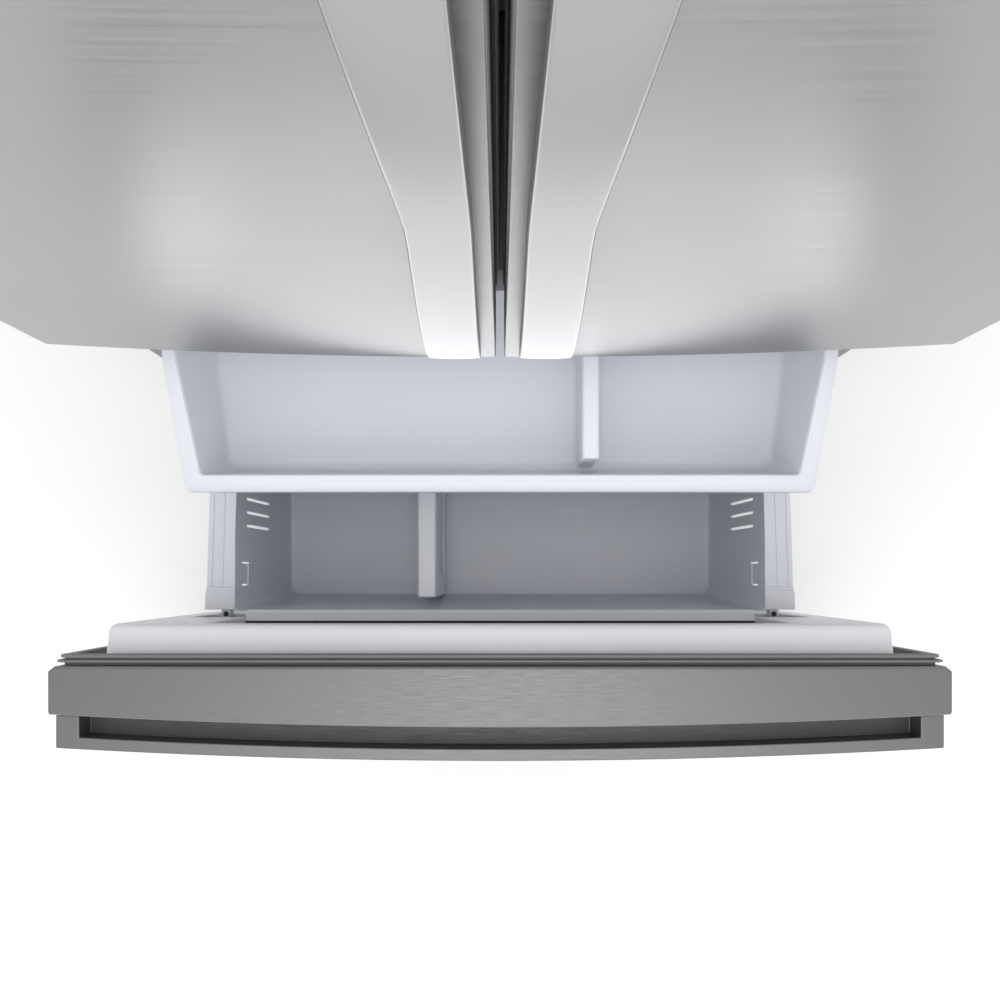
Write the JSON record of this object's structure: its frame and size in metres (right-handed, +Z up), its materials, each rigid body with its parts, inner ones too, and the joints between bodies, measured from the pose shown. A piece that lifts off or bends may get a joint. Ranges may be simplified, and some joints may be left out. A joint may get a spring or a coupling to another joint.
{
  "type": "french door refrigerator",
  "caption": "Stainless french door refrigerator with hinged upper doors, bow handles and a pulled-out freezer drawer that holds a white basket under a white tray.",
  "frame": {"origin": "middle of the rest pose's bounding box in plan, on the floor, with the freezer drawer pulled out", "axes": "+Z up, the doors face -Y, +X to the right when facing the doors"},
  "size_m": [0.908, 1.179, 1.778],
  "materials": {
    "painted_cabinet": "dark grey, lightly textured paint",
    "foam_core": "rigid foam, matt",
    "white_liner": "white vacuum-formed sheet, satin",
    "zinc_steel": "zinc-plated sheet",
    "evaporator_aluminium": "drawn tube, matt",
    "black_metal": "semi-gloss black enamel",
    "dark_plastic": "fine-textured moulding",
    "white_plastic": "white moulding, satin, faintly blue",
    "shelf_glass": "clear tempered glass",
    "clear_bins": "clear moulded plastic",
    "door_stainless": "fine horizontal brushing",
    "handle_stainless": "satin, brighter than the doors",
    "gasket_rubber": "matt grey seal"
  },
  "bodies": {
    "cabinet": {"cabinet_shell": "painted_cabinet", "foam_insulation": "foam_core", "fresh_food_liner": "white_liner", "freezer_liner": "white_liner", "back_panel": "zinc_steel", "machine_cover": "painted_cabinet", "base_pan": "zinc_steel", "toe_grille": "dark_plastic", "center_crossrail": "painted_cabinet", "compressor": "black_metal", "condenser_coil": "black_metal", "evaporator_coil": "evaporator_aluminium", "evaporator_cover": "white_plastic", "air_tower": "white_plastic", "hinge_top_left": "zinc_steel", "hinge_top_right": "zinc_steel", "hinge_cover_left": "painted_cabinet", "hinge_cover_right": "painted_cabinet", "hinge_center_left": "zinc_steel", "hinge_center_right": "zinc_steel", "shelf_left": "shelf_glass", "shelf_right": "shelf_glass", "crisper_cover": "shelf_glass", "slide_fixed_left": "zinc_steel", "slide_fixed_right": "zinc_steel"},
    "left_door": {"left_door_skin": "door_stainless", "left_door_liner": "white_liner", "left_door_gasket": "gasket_rubber", "left_door_handle": "handle_stainless", "left_bin_upper": "clear_bins", "left_bin_lower": "clear_bins"},
    "right_door": {"right_door_skin": "door_stainless", "right_door_liner": "white_liner", "right_door_gasket": "gasket_rubber", "right_door_handle": "handle_stainless", "right_bin_upper": "clear_bins", "right_bin_lower": "clear_bins"},
    "mullion": {"flip_mullion": "painted_cabinet"},
    "freezer_drawer": {"freezer_door_skin": "door_stainless", "freezer_door_liner": "white_liner", "freezer_door_gasket": "gasket_rubber", "freezer_door_handle": "door_stainless", "lower_basket": "white_plastic", "basket_divider": "white_plastic", "slide_drawer_left": "zinc_steel", "slide_drawer_right": "zinc_steel", "rail_cover_left": "white_plastic", "rail_cover_right": "white_plastic"},
    "slide_middle": {"slide_middle_left": "zinc_steel", "slide_middle_right": "zinc_steel"},
    "tray": {"upper_tray": "white_plastic", "tray_divider": "white_plastic"},
    "crisper_left": {"crisper_left": "clear_bins"},
    "crisper_right": {"crisper_right": "clear_bins"},
    "condenser_fan": {"condenser_fan": "dark_plastic"},
    "evaporator_fan": {"evaporator_fan": "dark_plastic"},
    "leg_left": {"leveling_leg_left": "dark_plastic"},
    "leg_right": {"leveling_leg_right": "dark_plastic"},
    "roller_left": {"rear_roller_left": "dark_plastic"},
    "roller_right": {"rear_roller_right": "dark_plastic"}
  },
  "joints": [
    {"name": "left_door_hinge", "type": "hinge", "parent": "cabinet", "child": "left_door", "pos_m": [-0.436, -0.1455, 1.2], "axis": [0, 0, -1], "range_deg": [0, 120]},
    {"name": "right_door_hinge", "type": "hinge", "parent": "cabinet", "child": "right_door", "pos_m": [0.436, -0.1455, 1.2], "axis": [0, 0, 1], "range_deg": [0, 120]},
    {"name": "mullion_flip", "type": "hinge", "parent": "left_door", "child": "mullion", "pos_m": [-0.029, -0.101, 1.2], "axis": [0, 0, 1], "range_deg": [0, 90]},
    {"name": "freezer_drawer_slide", "type": "slide", "parent": "cabinet", "child": "freezer_drawer", "axis": [0, -1, 0], "range_m": [-0.37, 0]},
    {"name": "middle_slide", "type": "slide", "parent": "cabinet", "child": "slide_middle", "axis": [0, -1, 0], "range_m": [-0.185, 0]},
    {"name": "tray_slide", "type": "slide", "parent": "cabinet", "child": "tray", "axis": [0, -1, 0], "range_m": [-0.24, 0]},
    {"name": "crisper_left_slide", "type": "slide", "parent": "cabinet", "child": "crisper_left", "axis": [0, -1, 0], "range_m": [0, 0.09]},
    {"name": "crisper_right_slide", "type": "slide", "parent": "cabinet", "child": "crisper_right", "axis": [0, -1, 0], "range_m": [0, 0.09]},
    {"name": "condenser_fan_spin", "type": "hinge", "parent": "cabinet", "child": "condenser_fan", "pos_m": [-0.03, 0.4795, 0.165], "axis": [1, 0, 0], "continuous": true},
    {"name": "evaporator_fan_spin", "type": "hinge", "parent": "cabinet", "child": "evaporator_fan", "pos_m": [0, 0.4715, 0.606], "axis": [0, 1, 0], "continuous": true},
    {"name": "leg_left_turn", "type": "hinge", "parent": "cabinet", "child": "leg_left", "pos_m": [-0.4, -0.0605, 0.006], "axis": [0, 0, 1], "continuous": true},
    {"name": "leg_right_turn", "type": "hinge", "parent": "cabinet", "child": "leg_right", "pos_m": [0.4, -0.0605, 0.006], "axis": [0, 0, 1], "continuous": true},
    {"name": "roller_left_roll", "type": "hinge", "parent": "cabinet", "child": "roller_left", "pos_m": [-0.3735, 0.5295, 0.022], "axis": [1, 0, 0], "continuous": true},
    {"name": "roller_right_roll", "type": "hinge", "parent": "cabinet", "child": "roller_right", "pos_m": [0.3735, 0.5295, 0.022], "axis": [1, 0, 0], "continuous": true}
  ],
  "couplings": [
    {"joint": "middle_slide", "follows": "freezer_drawer_slide", "ratio": 0.5},
    {"joint": "tray_slide", "follows": "freezer_drawer_slide", "ratio": 0.64865}
  ]
}
